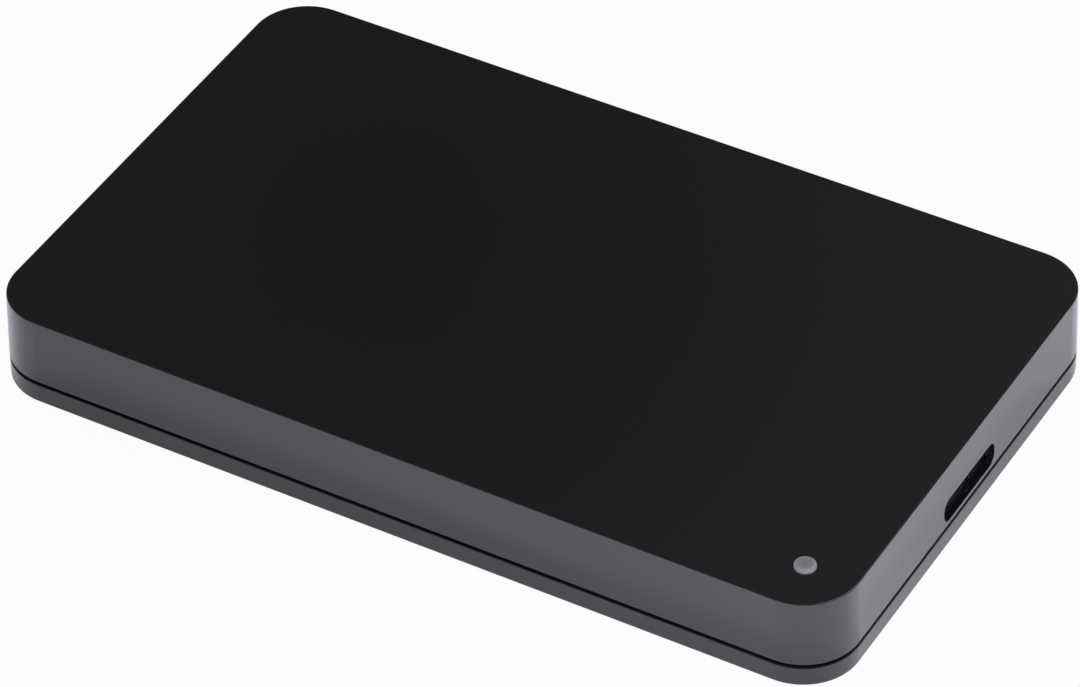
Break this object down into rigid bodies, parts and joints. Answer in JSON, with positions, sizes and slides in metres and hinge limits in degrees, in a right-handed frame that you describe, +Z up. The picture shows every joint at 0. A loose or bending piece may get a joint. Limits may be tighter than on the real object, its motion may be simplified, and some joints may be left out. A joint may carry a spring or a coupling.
{
  "type": "external hard drive",
  "caption": "Flat portable hard drive: a rounded black plastic case in two halves round a disc drive, with a domed status light and a data socket in one end.",
  "frame": {"origin": "centre of the case on the surface it lies on", "axes": "+X towards the end with the data socket, +Y across the case, +Z up through the roof"},
  "size_m": [0.121, 0.074, 0.0136],
  "materials": {
    "case_gloss": "smooth black ABS with a fine gloss",
    "case_tray": "black ABS, slightly duller",
    "light_pipe": "milky clear polycarbonate",
    "bumper_rubber": "soft black rubber",
    "circuit_board": "green solder mask over glass fibre",
    "chip_resin": "black moulded resin",
    "socket_steel": "tin-plated folded steel",
    "socket_resin": "black nylon",
    "nickel": "nickel-plated steel",
    "contact_gold": "gold-plated spring contacts",
    "ceramic_part": "tan ceramic with tinned ends",
    "led_resin": "white LED package",
    "cast_alloy": "die-cast alloy, bead-blasted",
    "cover_steel": "pressed stainless sheet",
    "gasket_foam": "formed-in-place seal",
    "screw_steel": "dark zinc-plated steel",
    "bearing_bronze": "sintered bronze",
    "lamination": "stacked silicon steel",
    "copper_wire": "lacquered copper wire",
    "magnet": "nickel-plated magnet",
    "turned_alloy": "turned aluminium",
    "disc_mirror": "polished magnetic coating",
    "arm_alloy": "machined aluminium",
    "blade_steel": "thin spring steel",
    "slider": "ceramic head slider",
    "ramp_resin": "natural acetal",
    "stop_rubber": "firm rubber",
    "flex_film": "amber polyimide film",
    "filter_felt": "white filter felt"
  },
  "bodies": {
    "case": {"top_shell": "case_gloss", "base_tray": "case_tray", "light_pipe": "light_pipe", "bumper_front_left": "bumper_rubber", "bumper_back_left": "bumper_rubber", "bumper_front_right": "bumper_rubber", "bumper_back_right": "bumper_rubber", "bridge_board": "circuit_board", "usb_shell": "socket_steel", "usb_tongue": "socket_resin", "sata_receptacle": "socket_resin", "bridge_chip": "chip_resin", "flash_chip": "chip_resin", "board_crystal": "nickel", "power_inductor": "chip_resin", "board_capacitors": "ceramic_part", "status_led": "led_resin", "drive_casting": "cast_alloy", "drive_cover": "cover_steel", "cover_gasket": "gasket_foam", "cover_screws": "screw_steel", "drive_board": "circuit_board", "drive_board_screws": "screw_steel", "sata_plug": "socket_resin", "plug_contacts": "contact_gold", "controller_chip": "chip_resin", "cache_chip": "chip_resin", "motor_chip": "chip_resin", "spindle_sleeve": "bearing_bronze", "stator_core": "lamination", "stator_coils": "copper_wire", "pivot_shaft": "nickel", "lower_yoke": "nickel", "upper_yoke": "nickel", "lower_magnet": "magnet", "upper_magnet": "magnet", "yoke_posts": "nickel", "load_ramp": "ramp_resin", "inner_stop": "stop_rubber", "outer_stop": "stop_rubber", "flex_cable": "flex_film", "flex_bracket": "turned_alloy", "air_filter": "filter_felt"},
    "rotor": {"spindle_hub": "turned_alloy", "disc_platter": "disc_mirror", "disc_clamp": "nickel", "clamp_screw": "screw_steel", "rotor_magnet": "magnet"},
    "actuator": {"pivot_sleeve": "nickel", "actuator_arm": "arm_alloy", "voice_coil": "copper_wire", "upper_suspension": "blade_steel", "lower_suspension": "blade_steel", "upper_head": "slider", "lower_head": "slider"}
  },
  "joints": [
    {"name": "spindle_spin", "type": "hinge", "parent": "case", "child": "rotor", "pos_m": [-0.0217, 0, 0.00715], "axis": [0, 0, 1], "continuous": true},
    {"name": "arm_swing", "type": "hinge", "parent": "case", "child": "actuator", "pos_m": [0.01729, 0.01267, 0.00715], "axis": [0, 0, -1], "range_deg": [0, 33.16]}
  ]
}
